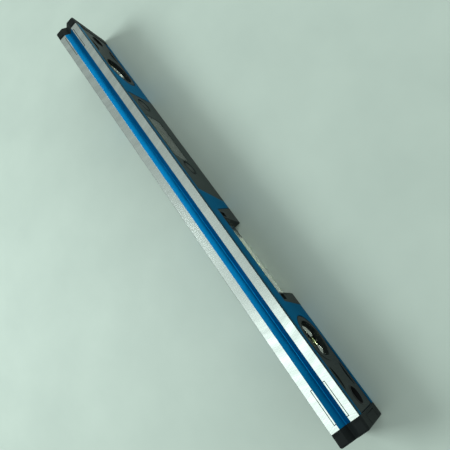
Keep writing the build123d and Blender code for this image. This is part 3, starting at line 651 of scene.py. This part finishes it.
def make_groove_fillers(end):
    """Painted filler across both ends of a keeper, flush with the groove's walls."""
    x0, x1 = keeper_run(end)
    half = GROOVE_HALF - SEAL_PLAY
    fillers = []
    for near, far in ((x0 - KEEPER_GAP + SEAL_PLAY, x0 - SEAL_PLAY),
                      (x1 + SEAL_PLAY, x1 + KEEPER_GAP - SEAL_PLAY)):
        filler = add_block((near, -half, SEAL_FOOT), (far, half, FILLER_TOP))
        cut_from(filler, groove_cutter(FILLER_DROP, near - MM, far + MM))
        fillers.append(filler)
    joined = join(fillers)
    dress(joined, GROOVE_PAINT)
    return settle(joined, f"groove_filler_{end}")


def keeper_run(end):
    """Where a keeper's face starts and stops along the beam."""
    return tuple(sorted(ENDS[end] * x for x in KEEPER_RUN))


for end in ENDS:
    make_seal(end)
    make_groove_fillers(end)


# ---- button collars (black rings as painted shade in each dish) and marks ----
DISH_FLOOR_Y = 14.9 * MM
BUTTON_GAP_R = 8.4 * MM
COLLAR_R = 10.05 * MM
COLLAR_THICK = 0.16 * MM
BUTTON_TOP_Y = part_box("power_button")[1].y
MARK_SINK = 0.15 * MM
MARK_TALL = 0.12 * MM
MARK_EDGE = 0.05 * MM
COLLAR_SINK = 0.02 * MM
MARK_R = 2.6 * MM
POWER_RING_INNER = 2.0 * MM
POWER_GAP_HALF = 0.9 * MM
POWER_GAP_TOP = 4.0 * MM
POWER_BAR_HALF = 0.3 * MM
POWER_BAR_FOOT, POWER_BAR_TOP = 0.2 * MM, 3.2 * MM
HOLD_RING_INNER = 2.1 * MM
HOLD_DOT_R = 0.8 * MM


def ring_about(place, outer, inner, y0, y1, sides=72):
    """A flat ring across the beam: a bar whose two ends are inset and joined through."""
    ring = add_bar(outer, y1 - y0, place + Vector((0, (y0 + y1) / 2 - place.y, 0)), "Y", sides)
    begin_edit(ring)
    pick(ring, "FACE", lambda face: len(face.vertices) > 4)
    bpy.ops.mesh.inset(thickness=(outer - inner) * math.cos(math.pi / sides))
    bpy.ops.mesh.bridge_edge_loops()
    end_edit()
    return ring


def soften(piece, width):
    """Rounds the sharp edges of a piece."""
    begin_edit(piece)
    bpy.ops.mesh.select_mode(type="EDGE")
    bpy.ops.mesh.select_all(action="DESELECT")
    bpy.ops.mesh.edges_select_sharp(sharpness=math.radians(40))
    bpy.ops.mesh.bevel(offset=width, segments=2, affect="EDGES")
    end_edit()
    smooth(piece)


def make_collar(button):
    """A near-black rubber ring on the floor of a button's dish, painted shade for the gap round the
    button.
    """
    collar = ring_about(middle(button), COLLAR_R, BUTTON_GAP_R, DISH_FLOOR_Y - COLLAR_SINK,
                        DISH_FLOOR_Y + COLLAR_THICK)
    soften(collar, MARK_EDGE)
    dress(collar, COLLAR_PAINTED_SHADE)
    return settle(collar, f"{button}_collar")


def make_power_mark():
    """A generic on/off sign raised on the power button: an open ring and a bar."""
    centre = middle("power_button")
    low, high = BUTTON_TOP_Y - MARK_SINK, BUTTON_TOP_Y + MARK_TALL
    ring = ring_about(centre, MARK_R, POWER_RING_INNER, low, high, 40)
    cut_from(ring, add_block((centre.x - POWER_GAP_HALF, low - MM, centre.z),
                             (centre.x + POWER_GAP_HALF, high + MM, centre.z + POWER_GAP_TOP)))
    bar = add_block((centre.x - POWER_BAR_HALF, low, centre.z + POWER_BAR_FOOT),
                    (centre.x + POWER_BAR_HALF, high, centre.z + POWER_BAR_TOP))
    mark = join([ring, bar])
    soften(mark, MARK_EDGE)
    dress(mark, BUTTON_MARK)
    return settle(mark, "power_button_mark", "power_button")


def make_hold_mark():
    """A generic raised dot and ring on the other button."""
    centre = middle("hold_button")
    low, high = BUTTON_TOP_Y - MARK_SINK, BUTTON_TOP_Y + MARK_TALL
    ring = ring_about(centre, MARK_R, HOLD_RING_INNER, low, high, 40)
    dot = add_bar(HOLD_DOT_R, high - low, (centre.x, (low + high) / 2, centre.z), "Y", 24)
    mark = join([ring, dot])
    soften(mark, MARK_EDGE)
    dress(mark, BUTTON_MARK)
    return settle(mark, "hold_button_mark", "hold_button")


for button in BUTTONS:
    make_collar(button)
make_power_mark()
make_hold_mark()


# ---- display border: the dark frame printed inside the display window's back ----
BORDER_WIDTH = 2.15 * MM
BORDER_EDGE = 0.06 * MM
BORDER_LIFT = 0.1 * MM
BORDER_THICK = 0.07 * MM


def make_display_border():
    """A frame that follows the window's outline and hides the ledge that the window sits on."""
    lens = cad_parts["display_lens"]
    start_clean()
    lens.select_set(True)
    bpy.context.view_layer.objects.active = lens
    bpy.ops.object.duplicate()
    border = bpy.context.object
    begin_edit(border)
    bpy.ops.mesh.select_mode(type="VERT")
    bpy.ops.mesh.select_all(action="SELECT")
    bpy.ops.mesh.remove_doubles(threshold=0.00001)
    pick(border, "FACE", lambda face: face.normal.y > -0.9)
    bpy.ops.mesh.delete(type="FACE")
    bpy.ops.mesh.select_mode(type="FACE")
    bpy.ops.mesh.select_all(action="SELECT")
    bpy.ops.mesh.dissolve_faces()
    bpy.ops.mesh.inset(thickness=BORDER_EDGE)
    bpy.ops.mesh.select_all(action="INVERT")
    bpy.ops.mesh.delete(type="FACE")
    bpy.ops.mesh.select_all(action="SELECT")
    bpy.ops.mesh.inset(thickness=BORDER_WIDTH)
    bpy.ops.mesh.delete(type="FACE")
    bpy.ops.mesh.select_all(action="SELECT")
    bpy.ops.transform.translate(value=(0, BORDER_LIFT, 0))
    bpy.ops.mesh.extrude_region_move(TRANSFORM_OT_translate={"value": (0, -BORDER_THICK, 0)})
    bpy.ops.mesh.select_all(action="SELECT")
    bpy.ops.mesh.normals_make_consistent(inside=False)
    end_edit()
    smooth(border, 30)
    dress(border, MARK_INK)
    return settle(border, "display_border")


make_display_border()


# ---- floor, light and camera ----
FLOOR_SIZE = 60.0
FLOOR_Z = -0.3 * MM
FLOOR_COLOUR = (0.52, 0.57, 0.53)
FLOOR_LIGHT = (0.57, 0.62, 0.575)
FLOOR_ROUGH = (0.5, 0.62)
start_clean()
bpy.ops.mesh.primitive_plane_add(size=FLOOR_SIZE, location=(0, 0, FLOOR_Z))
floor = bpy.context.object
floor.name = "studio_floor"
floor_material, floor_tree, floor_shader, floor_place = open_material("pale_floor")
floor_tone = placed_group(floor_tree, GRAIN, floor_place, Grain=220.0, Drift=9.0)
floor_tree.links.new(blend(floor_tree, floor_tone["Tone"], FLOOR_COLOUR, FLOOR_LIGHT),
                     floor_shader.inputs["Base Color"])
floor_tree.links.new(spread(floor_tree, floor_tone["Height"], 0.3, 0.7, *FLOOR_ROUGH),
                     floor_shader.inputs["Roughness"])
dress(floor, floor_material)


LIGHT_TINT = (0.86, 1.0, 0.95)


def soft_light(name, place, aim, size, power):
    """A soft box at place that points to aim: size is its two sides in metres, power in watts."""
    start_clean()
    bpy.ops.object.light_add(type="AREA", location=place)
    light = bpy.context.object
    light.name = name
    light.data.shape = "RECTANGLE"
    light.data.size, light.data.size_y = size
    light.data.energy = power
    light.data.color = LIGHT_TINT
    light.rotation_euler = (Vector(aim) - Vector(place)).to_track_quat("-Z", "Y").to_euler()
    return light


soft_light("key_softbox", (-0.6, -1.2, 1.4), (0, 0, 0), (0.8, 0.8), 21.0)
soft_light("strip_softbox", (0.18, -0.46, 1.50), (0.22, 0, 0), (0.64, 0.50), 1.25)
soft_light("groove_softbox", (-0.75, 1.2, 0.55), (0, 0, 0.03), (1.6, 0.8), 7.7)

AIR_COLOUR = (0.82, 0.97, 0.91, 1)
AIR_STRENGTH = (0.42, 0.52)
world = bpy.data.worlds.new("studio_air")
world.use_nodes = True
bpy.context.scene.world = world
air = world.node_tree
sky = wire(air, "ShaderNodeSeparateXYZ", {0: wire(air, "ShaderNodeTexCoord").outputs["Generated"]})
air.nodes["Background"].inputs["Color"].default_value = AIR_COLOUR
air.links.new(spread(air, sky.outputs["Z"], 0.0, 0.9, *AIR_STRENGTH),
              air.nodes["Background"].inputs["Strength"])

CAMERA_PLACE = Vector((0.2686, 0.1461, 0.5268))
CAMERA_AIM = Vector((0.0558, 0.0093, 0.0345))
CAMERA_ROLL = math.radians(-71.83)
CAMERA_LENS = 39.46
start_clean()
bpy.ops.object.camera_add(location=CAMERA_PLACE)
camera = bpy.context.object
camera.name = "studio_camera"
camera.data.lens = CAMERA_LENS
camera.data.sensor_width = 36.0
camera.data.clip_start = 0.01
level_turn = (CAMERA_AIM - CAMERA_PLACE).to_track_quat("-Z", "Y").to_matrix()
camera.rotation_euler = (level_turn @ Matrix.Rotation(CAMERA_ROLL, 3, "Z")).to_euler()
bpy.context.scene.camera = camera
bpy.context.scene.view_settings.view_transform = "Standard"
